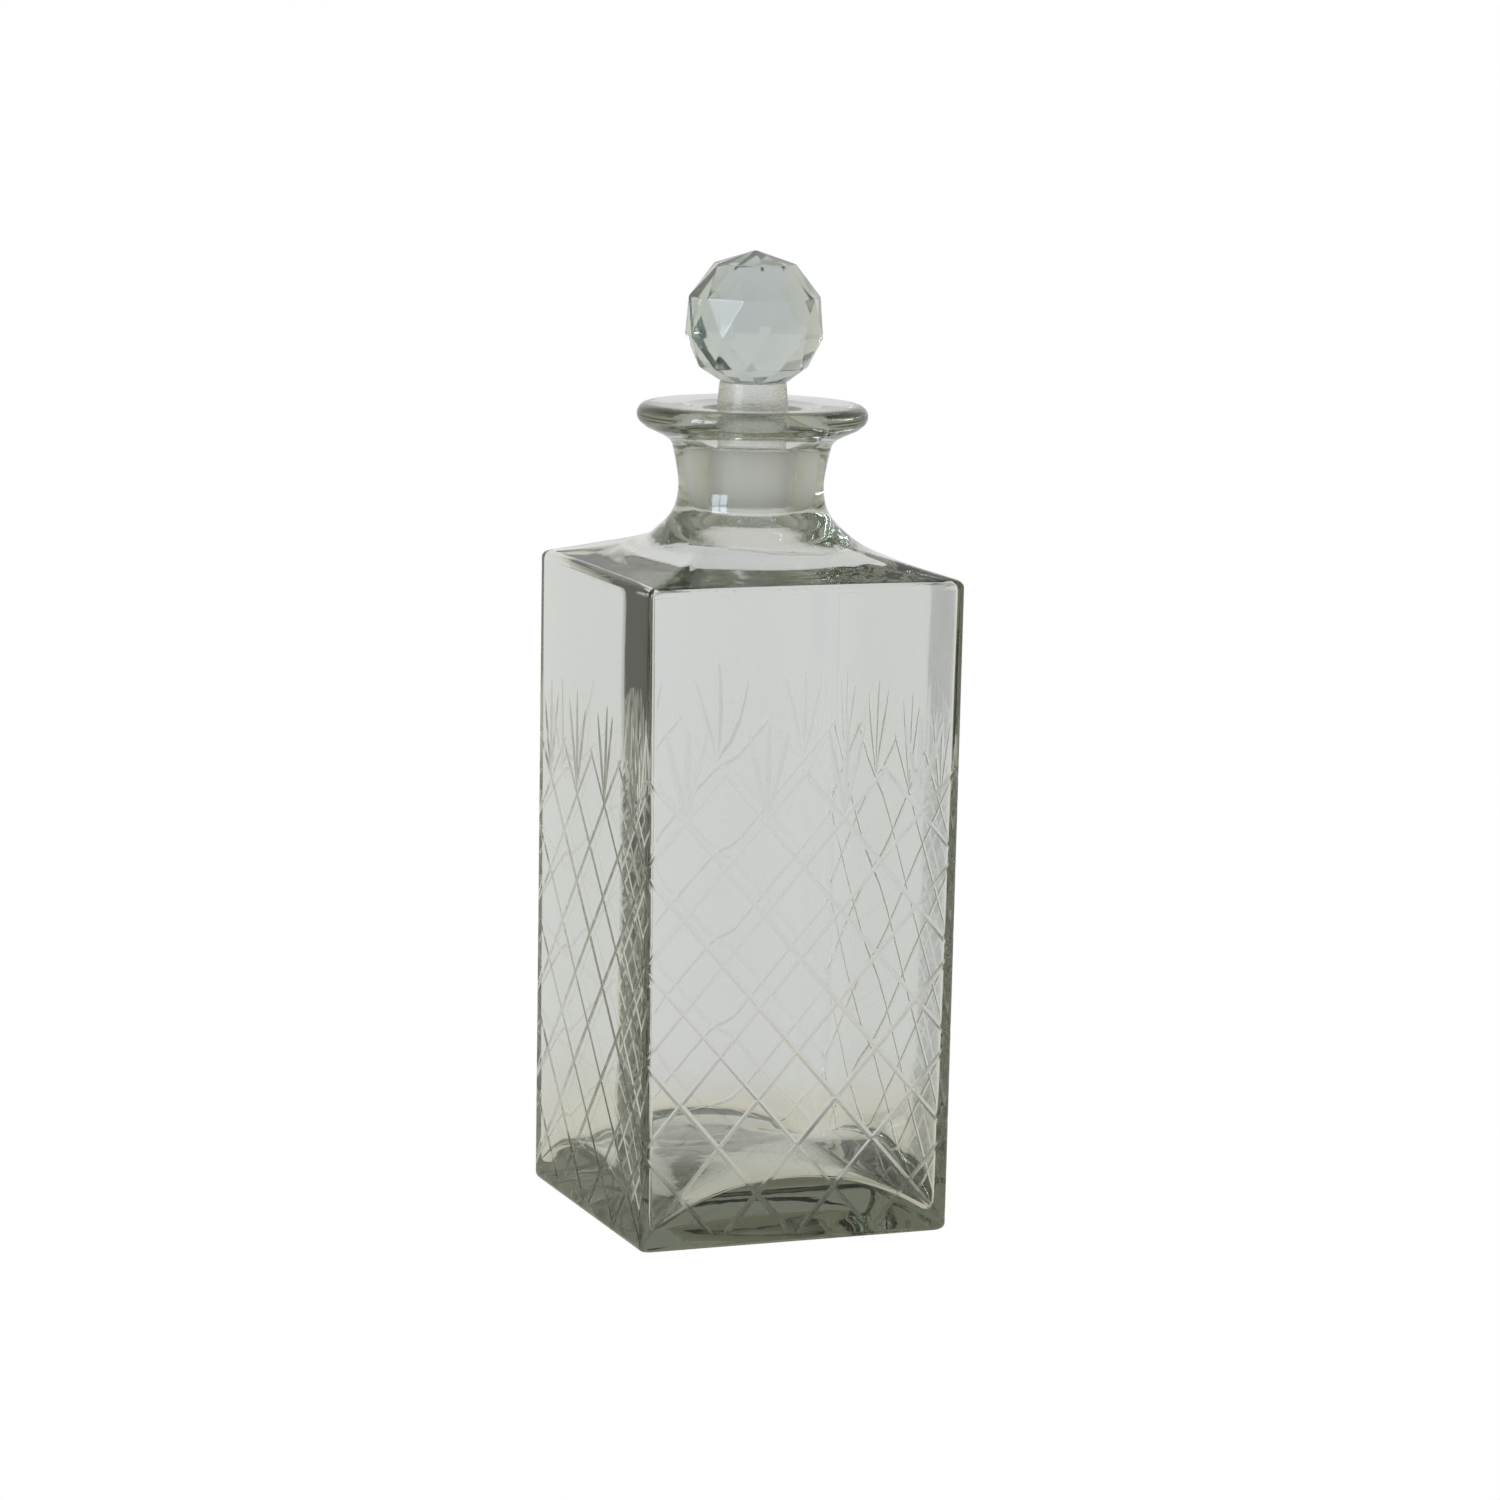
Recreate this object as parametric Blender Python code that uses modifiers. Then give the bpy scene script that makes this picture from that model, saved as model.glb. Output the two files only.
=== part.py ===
"""Square cut-glass decanter with a ground stopper and a faceted ball knob.

Metres, +Z up. The origin is the centre of the foot, on the surface that the decanter stands on.
Three pieces: the blown bottle, the ground stopper plug with its stem, and the faceted ball knob.
"""

import math

import bmesh
import bpy
import numpy as np

MM = 0.001

# The square body
BODY_WIDTH = 91.2 * MM
FOOT_WIDTH = 90.2 * MM
BODY_HEIGHT = 181 * MM
CORNER_RADIUS = 1.8 * MM
INNER_CORNER_RADIUS = 1 * MM
FOOT_RADIUS = 2.2 * MM
# The glass is thinnest at the four corners, and thicker by the bow at the middle of each face
CORNER_WALL_TOP = 1.6 * MM
CORNER_WALL_FOOT = 2.8 * MM
BOW = 1.35 * MM
# Share of a face, from its middle, over which the bow holds before it falls away to the corner
BOW_SHARE = 0.47
FLOOR_MIDDLE = 17 * MM
FLOOR_CORNER = 5.5 * MM
PUNT_RADIUS = 32 * MM
PUNT_DEPTH = 3 * MM

# The lip
LIP_TOP = 226.4 * MM
LIP_RADIUS = 31.9 * MM
LIP_ROUND = 3.1 * MM
MOUTH_RADIUS = 17.6 * MM

# The ground taper, where the plug seats in the bore
GROUND_TOP = 216 * MM
GROUND_BOTTOM = 197.5 * MM
PLUG_TOP_RADIUS = 12.2 * MM
PLUG_BOTTOM_RADIUS = 11 * MM
PLUG_CHAMFER = 0.8 * MM
GAP = 0.3 * MM

# The stopper above the lip
STEM_TOP_RADIUS = 9.2 * MM
STEM_LIP_RADIUS = 9.8 * MM
KNOB_RADIUS = 19.6 * MM
KNOB_CENTRE = 248.9 * MM
KNOB_SEAT = 232.6 * MM
KNOB_SEAT_RADIUS = 9.5 * MM
KNOB_FACETS = 10
# Angles of the knob's rings of corners, down from its top
KNOB_RINGS = (35.5, 69.5, 101.5, 129.5)
# How far the facets are turned from +X, in degrees
KNOB_TURN = 6

# Points along one flat side of a section, and round one of its corners
FLAT_POINTS = 6
CORNER_POINTS = 6
SECTION_POINTS = 4 * (FLAT_POINTS + CORNER_POINTS)

HALF = BODY_WIDTH / 2
FOOT_HALF = FOOT_WIDTH / 2


def clear_scene():
    for obj in list(bpy.data.objects):
        bpy.data.objects.remove(obj)


def glass(name, colour, roughness):
    """A Principled glass of one colour."""
    material = bpy.data.materials.new(name)
    material.use_nodes = True
    shader = material.node_tree.nodes["Principled BSDF"]
    shader.inputs["Base Color"].default_value = (*colour, 1)
    shader.inputs["Roughness"].default_value = roughness
    shader.inputs["Metallic"].default_value = 0
    shader.inputs["Transmission Weight"].default_value = 1
    shader.inputs["IOR"].default_value = 1.52
    return material


def add_object(name, mesh, material, collection):
    mesh.materials.append(material)
    obj = bpy.data.objects.new(name, mesh)
    collection.objects.link(obj)
    return obj


def square_outline(half, corner_radius):
    """A square with round corners, anticlockwise from the middle of its +X side."""
    centre = half - corner_radius
    rise = centre * np.linspace(0, 1, FLAT_POINTS // 2 + 1)
    arc = np.linspace(0, 0.5 * math.pi, CORNER_POINTS + 1)
    x = np.concatenate([np.full(len(rise) - 1, half), centre + corner_radius * np.cos(arc), rise[-2:0:-1]])
    y = np.concatenate([rise[:-1], centre + corner_radius * np.sin(arc), np.full(len(rise) - 2, half)])
    quarters = [(x, y), (-y, x), (-x, -y), (y, -x)]
    return np.concatenate([np.column_stack(quarter) for quarter in quarters])


def round_outline(radius, points):
    turn = np.linspace(0, 2 * math.pi, points, endpoint=False)
    return radius * np.column_stack([np.cos(turn), np.sin(turn)])


def bowed(outline, half, bow):
    """The outline with the middle of each side moved in by bow. The move holds over BOW_SHARE of the
    side and falls evenly to nothing at the corners."""
    across = np.abs(outline).min(axis=1) / half
    inwards = bow * np.clip((1 - across) / (1 - BOW_SHARE), 0, 1)
    is_x_side = np.abs(outline[:, 0]) > np.abs(outline[:, 1])
    moved = outline.copy()
    moved[is_x_side, 0] -= np.sign(outline[is_x_side, 0]) * inwards[is_x_side]
    moved[~is_x_side, 1] -= np.sign(outline[~is_x_side, 1]) * inwards[~is_x_side]
    return moved


def section(z, half, roundness=0.0, corner_radius=CORNER_RADIUS, corner_drop=0.0, bow=0.0):
    """One level of the bottle: a square that becomes a circle as roundness goes from 0 to 1.
    corner_drop lowers the level towards its four corners, and bow moves its sides in."""
    square = bowed(square_outline(half, min(corner_radius, 0.9 * half)), half, bow)
    outline = (1 - roundness) * square + roundness * round_outline(half, len(square))
    cornerness = np.abs(outline[:, 0] * outline[:, 1])
    return np.column_stack([outline, z - corner_drop * (cornerness / cornerness.max()) ** 2])


def sections(levels):
    """Levels given as height, half width and roundness, in millimetres."""
    return [section(z * MM, half * MM, blend) for z, half, blend in levels]


def underside():
    """The shallow punt, the flat ring that the bottle stands on and the round foot."""
    rings = []
    for share in (0.3, 0.6, 0.85, 1.0):
        rings.append(section(PUNT_DEPTH * (1 - share**2), PUNT_RADIUS * share, 1))
    for turn in np.radians([0, 30, 60, 90]):
        half = FOOT_HALF - FOOT_RADIUS * (1 - math.sin(turn))
        rings.append(section(FOOT_RADIUS * (1 - math.cos(turn)), half))
    return rings


def outer_shoulder():
    """From the body's top edge up to the neck, where the square turns round."""
    edge = BODY_HEIGHT / MM
    half = HALF / MM
    return sections(
        [
            (edge - 1.4, half, 0),
            (edge - 0.3, half - 0.3, 0),
            (edge + 0.5, half - 1.1, 0),
            (edge + 1.2, half - 3, 0.01),
            (edge + 2.6, half - 7, 0.08),
            (edge + 4.2, half - 10.5, 0.25),
            (edge + 6.0, half - 14, 0.58),
            (edge + 8.6, half - 17.4, 1),
        ]
    )


def neck():
    """The waisted neck and the sloping underside of the lip."""
    return sections(
        [
            (192.0, 25.5, 1),
            (194.4, 23.0, 1),
            (196.6, 21.6, 1),
            (198.8, 20.7, 1),
            (202.5, 20.1, 1),
            (206.0, 20.2, 1),
            (209.6, 20.8, 1),
            (213.0, 21.5, 1),
            (215.8, 22.4, 1),
            (217.5, 24.5, 1),
            (218.6, 26.8, 1),
            (219.8, 29.4, 1),
        ]
    )


def rim():
    """The round edge of the lip, and its top, which is a little lower at the mouth."""
    middle = LIP_TOP - LIP_ROUND
    rings = []
    for turn in np.radians([-55, -25, 0, 25, 50, 75, 90]):
        radius = LIP_RADIUS - LIP_ROUND * (1 - math.cos(turn))
        rings.append(section(middle + LIP_ROUND * math.sin(turn), radius, 1))
    rings.append(section(LIP_TOP - 0.4 * MM, MOUTH_RADIUS + 1.5 * MM, 1))
    return rings


def mouth_and_bore():
    """The mouth curves in to the ground taper, which follows the plug with a gap all round."""
    bore_top = PLUG_TOP_RADIUS + GAP
    mouth_top = LIP_TOP - 1.2 * MM
    rings = []
    for turn in np.radians([90, 60, 30, 0]):
        radius = MOUTH_RADIUS - (MOUTH_RADIUS - bore_top) * math.cos(turn)
        rings.append(section(GROUND_TOP + (mouth_top - GROUND_TOP) * math.sin(turn), radius, 1))
    rings.append(section(GROUND_BOTTOM - MM, PLUG_BOTTOM_RADIUS + GAP, 1))
    return rings


def inner_shoulder():
    """Inside of the shoulder, from the bore out to the square cavity. It is nearly level above the
    body's walls, where the glass is thickest, and steep below the neck."""
    levels = [
        # height, half width, roundness, bow
        (194.8, 12.5, 1, 0),
        (190.2, 19.0, 1, 0),
        (186.8, 24.5, 0.95, 0),
        (184.5, 28.0, 0.7, 0),
        (182.1, 31.5, 0.42, 0),
        (181.2, 36.5, 0.14, 0),
        (180.6, 41.4, 0.02, 0),
        (180.3, 43.2, 0, 0.5),
        (179.2, 43.9, 0, 1.1),
    ]
    return [
        section(z * MM, half * MM, blend, INNER_CORNER_RADIUS, 0, bow * MM)
        for z, half, blend, bow in levels
    ]


def cavity():
    """The inner walls, whose sides bow in, and the domed floor, which is low in its four corners."""
    rings = []
    for z in (176, 110, 60, 36):
        share = z * MM / BODY_HEIGHT
        half = FOOT_HALF - CORNER_WALL_FOOT
        half += (HALF - CORNER_WALL_TOP - half) * share
        rings.append(section(z * MM, half, 0, INNER_CORNER_RADIUS, 0, BOW))
    drop = FLOOR_MIDDLE - FLOOR_CORNER
    foot = FOOT_HALF - CORNER_WALL_FOOT
    # Height above the floor, step in from the wall, share of the corners' drop
    for above, inset, share in ((8, 0.1, 0.6), (2.2, 0.3, 0.95), (0.5, 1.4, 1), (0, 5, 0.93)):
        level = FLOOR_MIDDLE + above * MM
        rings.append(section(level, foot - inset * MM, 0, INNER_CORNER_RADIUS, drop * share, BOW))
    rings.append(section(FLOOR_MIDDLE, 22 * MM, 0.5, INNER_CORNER_RADIUS, 1.5 * MM))
    rings.append(section(FLOOR_MIDDLE, 10 * MM, 1))
    return rings


def loft(name, rings):
    """A closed skin through rings of equal length, with a flat cap on the first and on the last."""
    build = bmesh.new()
    loops = [[build.verts.new(point) for point in ring] for ring in rings]
    for lower, upper in zip(loops[:-1], loops[1:]):
        for here, after in zip(range(-1, len(lower) - 1), range(len(lower))):
            build.faces.new([lower[here], lower[after], upper[after], upper[here]])
    build.faces.new(loops[0][::-1])
    build.faces.new(loops[-1])
    bmesh.ops.recalc_face_normals(build, faces=build.faces)
    mesh = bpy.data.meshes.new(name)
    build.to_mesh(mesh)
    build.free()
    mesh.shade_smooth()
    mesh.set_sharp_from_angle(angle=math.radians(35))
    return mesh


def make_bottle(material, collection):
    """One skin: under the foot, up the outside, over the lip, and down the bore into the cavity."""
    outside = underside() + outer_shoulder() + neck() + rim()
    inside = mouth_and_bore() + inner_shoulder() + cavity()
    return add_object("bottle", loft("bottle", outside + inside), material, collection)


def make_plug(material, collection):
    """The turned stem and the tapered plug below it, ground to fit the bore."""
    stem_top = KNOB_SEAT - GAP
    profile = [
        (0, stem_top),
        (STEM_TOP_RADIUS, stem_top),
        (STEM_LIP_RADIUS, LIP_TOP),
        (STEM_LIP_RADIUS + 0.3 * MM, GROUND_TOP + 4 * MM),
        (PLUG_TOP_RADIUS - PLUG_CHAMFER, GROUND_TOP + PLUG_CHAMFER),
        (PLUG_TOP_RADIUS, GROUND_TOP),
        (PLUG_BOTTOM_RADIUS, GROUND_BOTTOM + PLUG_CHAMFER),
        (PLUG_BOTTOM_RADIUS - PLUG_CHAMFER, GROUND_BOTTOM),
        (0, GROUND_BOTTOM),
    ]
    mesh = bpy.data.meshes.new("stopper_plug")
    edges = [(point, point + 1) for point in range(len(profile) - 1)]
    mesh.from_pydata([(radius, 0, z) for radius, z in profile], edges, [])
    plug = add_object("stopper_plug", mesh, material, collection)
    turn = plug.modifiers.new("turn", "SCREW")
    turn.steps = SECTION_POINTS
    turn.render_steps = SECTION_POINTS
    turn.use_merge_vertices = True
    turn.merge_threshold = 0.00001
    turn.use_smooth_shade = True
    return plug


def make_knob(material, collection):
    """The ball: rings of corners, each half a facet out of step with the last, so that most facets
    are triangles, cut off flat where it meets the stem."""
    step = 2 * math.pi / KNOB_FACETS
    rings = []
    for down in np.radians(KNOB_RINGS):
        rings.append((KNOB_RADIUS * math.sin(down), KNOB_CENTRE + KNOB_RADIUS * math.cos(down)))
    rings.append((KNOB_SEAT_RADIUS, KNOB_SEAT))
    build = bmesh.new()
    build.verts.new((0, 0, KNOB_CENTRE + KNOB_RADIUS))
    for ring, (radius, z) in enumerate(rings):
        for facet in range(KNOB_FACETS):
            turn = math.radians(KNOB_TURN) + (facet + 0.5 * (ring % 2)) * step
            build.verts.new((radius * math.cos(turn), radius * math.sin(turn), z))
    bmesh.ops.convex_hull(build, input=build.verts)
    mesh = bpy.data.meshes.new("stopper_knob")
    build.to_mesh(mesh)
    build.free()
    return add_object("stopper_knob", mesh, material, collection)


def main():
    clear_scene()
    decanter = bpy.data.collections.new("decanter")
    bpy.context.scene.collection.children.link(decanter)
    make_bottle(glass("blown_glass", (0.80, 0.84, 0.81), 0.02), decanter)
    make_plug(glass("ground_glass", (0.78, 0.80, 0.79), 0.45), decanter)
    make_knob(glass("cut_glass", (0.78, 0.84, 0.82), 0.02), decanter)


main()
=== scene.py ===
"""Looks of a square cut-glass decanter with a ground stopper and a faceted ball knob.

The bottle's walls carry a wheel-cut diamond lattice with fans above it. The stopper is ground to the
neck. Everything is worked out in millimetres round the axis of the neck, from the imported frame.
"""

import math

import bmesh
import bpy
import numpy as np
from bpy.props import FloatProperty, FloatVectorProperty, IntProperty, PointerProperty
from mathutils import Matrix, Vector
from mathutils.geometry import delaunay_2d_cdt


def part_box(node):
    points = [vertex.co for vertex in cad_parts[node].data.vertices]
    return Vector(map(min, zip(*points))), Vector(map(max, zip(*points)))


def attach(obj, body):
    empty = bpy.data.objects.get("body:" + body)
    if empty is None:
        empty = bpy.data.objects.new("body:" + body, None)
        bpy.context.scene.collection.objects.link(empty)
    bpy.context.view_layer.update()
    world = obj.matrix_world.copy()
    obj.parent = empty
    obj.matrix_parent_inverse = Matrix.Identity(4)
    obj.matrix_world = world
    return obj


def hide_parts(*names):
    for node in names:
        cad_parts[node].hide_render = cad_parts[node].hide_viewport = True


bl_info = {
    "name": "Cut Glass Decanter",
    "version": (1, 0, 0),
    "blender": (4, 5, 0),
    "location": "3D View > Sidebar > Decanter",
    "description": "Builds a square cut-glass decanter with a ground stopper on its stage",
    "category": "Object",
}

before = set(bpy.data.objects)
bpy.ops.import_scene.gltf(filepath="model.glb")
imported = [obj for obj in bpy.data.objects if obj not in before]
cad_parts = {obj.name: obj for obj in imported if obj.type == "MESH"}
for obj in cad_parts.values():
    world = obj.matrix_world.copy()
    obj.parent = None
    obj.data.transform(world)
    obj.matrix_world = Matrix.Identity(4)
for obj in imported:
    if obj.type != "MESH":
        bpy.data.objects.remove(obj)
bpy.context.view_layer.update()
MM = 0.001

_, BOTTLE_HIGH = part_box("bottle")
PLUG_LOW, PLUG_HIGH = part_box("stopper_plug")
KNOB_LOW, KNOB_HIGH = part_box("stopper_knob")

# Sizes that the frame gives, in millimetres
HALF = BOTTLE_HIGH.x / MM
LIP_TOP = BOTTLE_HIGH.z / MM
GROUND_BOTTOM = PLUG_LOW.z / MM
STEM_TOP = PLUG_HIGH.z / MM
PLUG_TOP_RADIUS = PLUG_HIGH.x / MM
KNOB_SEAT = KNOB_LOW.z / MM
KNOB_TOP = KNOB_HIGH.z / MM

# Sizes inside the frame's boxes, in millimetres
BODY_HEIGHT = 181.0
EDGE_DROP = 1.4
FOOT_HALF = 45.1
CORNER_RADIUS = 1.8
INNER_CORNER_RADIUS = 1.0
FOOT_RADIUS = 2.2
CORNER_WALL_TOP = 1.6
CORNER_WALL_FOOT = 2.8
BOW = 1.35
BOW_SHARE = 0.47
FLOOR_MIDDLE = 17.0
FLOOR_CORNER = 5.5
PUNT_RADIUS = 32.0
PUNT_DEPTH = 3.0
LIP_RADIUS = 31.9
LIP_ROUND = 3.1
MOUTH_RADIUS = 17.6
MOUTH_DROP = 1.2
GROUND_TOP = 216.0
PLUG_BOTTOM_RADIUS = 11.0
BORE_GAP = 0.3
PLUG_CHAMFER = 0.8
STEM_TOP_RADIUS = 9.2
STEM_LIP_RADIUS = 9.8
KNOB_RADIUS = 19.6
KNOB_FACETS = 10
KNOB_RINGS = (35.5, 69.5, 101.5, 129.5)
KNOB_TURN = 6
KNOB_SEAT_RADIUS = 9.5

# The cut wall lies between the foot and the top edge, and is joined to the turned sections there
WALL_LOW = 3.4
WALL_HIGH = 176.0
CORNER_SHARE = CORNER_RADIUS / HALF
FLAT_STEPS = 36
CORNER_STEPS = 6
FILL_COLUMNS = 28
FILL_ROWS = 60
SEED = 7

# Cuts stop this far short of the corner's middle, and the lattice's lines overshoot its top points
CUT_MARGIN = 0.7
CUT_OVERSHOOT = 1.2
# Over these lengths a cut comes up to its full width and depth
LATTICE_TAPER = 3.0
FAN_TAPER = 12.0
# The strokes of a fan: lean in degrees and length
FAN_STROKES = ((0, 27), (-14, 24.5), (14, 24.5))
# A face of the mesh is matt where the cut is deeper than this
MATT_DEPTH = 0.004

# The slow waves of the glass within: their height and their length
RIPPLE = 0.12
RIPPLE_LENGTH = 38

# Roughness of each finish of the bottle, kept on its faces
POLISHED, CUT, GROUND = 0.0, 0.34, 0.42

# The camera's place, in degrees, metres and millimetres of lens
CAMERA_AZIMUTH = -21.2256
CAMERA_ELEVATION = 9.2178
CAMERA_ROLL = 1.1566
CAMERA_DISTANCE = 1.4167
CAMERA_LENS = 122.15
TARGET_HEIGHT = 0.1232
TARGET_RIGHT = 0.00119
TARGET_UP = 0.00649

# The window: degrees to the camera's left, then metres. Its panes have a size and a pitch, each
# across and up, and they face a point above the foot.
WINDOW_TURN = 50
WINDOW_DISTANCE = 2.4
PANE_SIZE = (0.5, 0.62)
PANE_PITCH = (0.58, 0.7)
LOWER_PANES = 0.42
WINDOW_AIM = 0.15


# ---------------------------------------------------------------- settings


def linear(hex_colour):
    """An sRGB hex value as a linear RGBA colour."""
    channels = np.array([int(hex_colour[i : i + 2], 16) for i in (0, 2, 4)]) / 255
    low, high = channels / 12.92, ((channels + 0.055) / 1.055) ** 2.4
    return (*np.where(channels <= 0.04045, low, high).tolist(), 1.0)


class BottleSettings(bpy.types.PropertyGroup):
    cut_width: FloatProperty(
        name="Cut width",
        description="Width of a lattice cut",
        default=1.5 * MM,
        min=0.5 * MM,
        max=3 * MM,
        unit="LENGTH",
    )
    cut_depth: FloatProperty(
        name="Cut depth",
        description="Depth of a lattice cut",
        default=0.24 * MM,
        min=0.05 * MM,
        max=1 * MM,
        unit="LENGTH",
    )
    columns: IntProperty(
        name="Diamonds across", description="Diamonds across one face", default=4, min=2, max=8
    )
    diamond_height: FloatProperty(
        name="Diamond height",
        description="Height of one diamond",
        default=25.8 * MM,
        min=10 * MM,
        max=60 * MM,
        unit="LENGTH",
    )
    lattice_top: FloatProperty(
        name="Lattice top",
        description="Height of the top row of points",
        default=131 * MM,
        min=60 * MM,
        max=140 * MM,
        unit="LENGTH",
    )
    tint: FloatVectorProperty(
        name="Tint",
        description="Colour of the thick glass",
        default=linear("8C9679"),
        min=0,
        max=1,
        size=4,
        subtype="COLOR",
    )
    depth_of_tint: FloatProperty(
        name="Depth of tint", description="Absorption for each metre of glass", default=25.0, min=0
    )


class StopperSettings(bpy.types.PropertyGroup):
    ground_roughness: FloatProperty(
        name="Ground roughness",
        description="Roughness of the ground plug",
        default=0.33,
        min=0,
        max=1,
        subtype="FACTOR",
    )
    facet_bevel: FloatProperty(
        name="Facet edge",
        description="Width of a facet's polished edge",
        default=0.22 * MM,
        min=0,
        unit="LENGTH",
    )
    tint: FloatVectorProperty(
        name="Tint",
        description="Colour of the stopper's glass in depth",
        default=linear("8FA59C"),
        min=0,
        max=1,
        size=4,
        subtype="COLOR",
    )
    plug_depth_of_tint: FloatProperty(
        name="Plug's depth of tint",
        description="Absorption for each metre of the plug",
        default=2.0,
        min=0,
    )
    ball_depth_of_tint: FloatProperty(
        name="Ball's depth of tint",
        description="Absorption for each metre of the ball",
        default=17.5,
        min=0,
    )


class StageSettings(bpy.types.PropertyGroup):
    backdrop: FloatVectorProperty(
        name="Backdrop",
        description="Studio before and behind",
        default=linear("E6E6E4"),
        min=0,
        max=1,
        size=4,
        subtype="COLOR",
    )
    # The world's light from either side, and also the colour of the floor's painted shade to either side,
    # seen through the glass
    sides: FloatVectorProperty(
        name="Sides",
        description="Studio to either side",
        default=linear("D6D6C8"),
        min=0,
        max=1,
        size=4,
        subtype="COLOR",
    )
    overhead: FloatVectorProperty(
        name="Overhead",
        description="Studio straight above",
        default=linear("9FA096"),
        min=0,
        max=1,
        size=4,
        subtype="COLOR",
    )
    window: FloatProperty(
        name="Window", description="Power of each window pane", default=9.0, min=0, unit="POWER"
    )


# ---------------------------------------------------------------- shapes


def wall_half(z):
    """Half the body's width at a height: it widens a little from the foot to the top edge."""
    share = np.clip((z - FOOT_RADIUS) / (BODY_HEIGHT - EDGE_DROP - FOOT_RADIUS), 0, 1)
    return FOOT_HALF + (HALF - FOOT_HALF) * share


def face_turn(face):
    """The rotation that takes the front face to face number 0 front, 1 right, 2 back or 3 left."""
    angle = 0.5 * math.pi * face
    return np.array([[math.cos(angle), -math.sin(angle)], [math.sin(angle), math.cos(angle)]])


def square_points(share, half, radius):
    """Points on the front side of a square with round corners, for share from -1 to 1 across it.
    The middle of the range is the straight side. The rest of it turns 45 degrees round a corner."""
    side = 1 - CORNER_SHARE
    straight = half - radius
    turn = np.clip((np.abs(share) - side) / CORNER_SHARE, 0, 1) * 0.25 * math.pi
    x = np.where(np.abs(share) <= side, share / side * straight, 0)
    past = np.abs(share) > side
    x = np.where(past, np.sign(share) * (straight + radius * np.sin(turn)), x)
    y = np.where(past, -(straight + radius * np.cos(turn)), -half)
    return np.stack([x, y], axis=-1)


def shares():
    """Where a section's points lie across one face, from -1 up to but without 1."""
    side = 1 - CORNER_SHARE
    left = np.linspace(-1, -side, CORNER_STEPS + 1)[:-1]
    flat = np.linspace(-side, side, FLAT_STEPS + 1)[:-1]
    right = np.linspace(side, 1, CORNER_STEPS + 1)[:-1]
    return np.concatenate([left, flat, right])


def bowed(ring, half, bow):
    """A square ring with the middle of each side moved in by bow, which falls evenly to nothing at
    the corners. The fall is rounded off where it meets the level middle."""
    across = np.abs(ring).min(axis=1) / half
    fall = np.clip((1 - across) / (1 - BOW_SHARE), 0, 1)
    soft = 0.12
    full = math.hypot(1, soft)
    inwards = bow * (full - np.sqrt((1 - fall) ** 2 + soft**2)) / (full - soft)
    is_x_side = np.abs(ring[:, 0]) > np.abs(ring[:, 1])
    towards = np.where(is_x_side[:, None], [1, 0], [0, 1]) * np.sign(ring)
    return ring - towards * inwards[:, None]


def section(z, half, roundness=0.0, radius=CORNER_RADIUS, drop=0.0, bow=0.0):
    """A level of the bottle: the square moved towards a circle of the same half width by roundness,
    and lowered towards its corners by drop times the square of how near each point is to a corner."""
    share = shares()
    square = square_points(share, half, min(radius, 0.9 * half))
    turn = share * 0.25 * math.pi
    circle = half * np.stack([np.sin(turn), -np.cos(turn)], axis=-1)
    squares = np.concatenate([square @ face_turn(face).T for face in range(4)])
    circles = np.concatenate([circle @ face_turn(face).T for face in range(4)])
    ring = (1 - roundness) * bowed(squares, half, bow) + roundness * circles
    corner = np.abs(ring[:, 0] * ring[:, 1])
    return np.column_stack([ring, z - drop * (corner / corner.max()) ** 2])


def smooth(stations, steps):
    """A Catmull-Rom curve through rows of numbers, with steps between each row and the next."""
    rows = np.array(stations, float)
    padded = np.concatenate([2 * rows[:1] - rows[1:2], rows, 2 * rows[-1:] - rows[-2:-1]])
    t = np.arange(steps)[:, None, None] / steps
    p0, p1, p2, p3 = padded[:-3], padded[1:-2], padded[2:-1], padded[3:]
    curve = 0.5 * (
        2 * p1 + (p2 - p0) * t + (2 * p0 - 5 * p1 + 4 * p2 - p3) * t**2 + (3 * p1 - p0 - 3 * p2 + p3) * t**3
    )
    return np.concatenate([curve.transpose(1, 0, 2).reshape(-1, rows.shape[1]), rows[-1:]])


def sections(levels, steps, radius=CORNER_RADIUS):
    """Smoothed sections through levels of height, half width and roundness."""
    levels = smooth(levels, steps)
    return [section(z, min(half, HALF), min(max(blend, 0), 1), radius) for z, half, blend in levels]


def arc(centre_z, centre_half, radius, start, end, steps, roundness):
    """Sections round an arc in the profile, from start to end degrees above level."""
    turns = np.radians(np.linspace(start, end, steps + 1))
    return [
        section(centre_z + radius * math.sin(a), centre_half + radius * math.cos(a), roundness)
        for a in turns
    ]


def ripple(points, size, wavelength, seed):
    """Slow waves of hand-blown glass: the mean of seven sines along fixed random directions, as a
    push towards the axis. The push is half of size where the waves cancel."""
    random = np.random.default_rng(seed)
    directions = random.normal(size=(7, 3))
    directions /= np.linalg.norm(directions, axis=1)[:, None]
    phases = random.uniform(0, 2 * math.pi, 7)
    stretch = random.uniform(0.6, 1.7, 7)
    waves = np.sin(points @ (directions * stretch[:, None]).T * 2 * math.pi / wavelength + phases)
    push = size * (0.5 + 0.5 * waves.mean(axis=1) * 1.6)
    radial = points * np.array([1, 1, 0])
    radial /= np.linalg.norm(radial, axis=1)[:, None] + 1e-9
    return points - radial * push[:, None]


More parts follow.
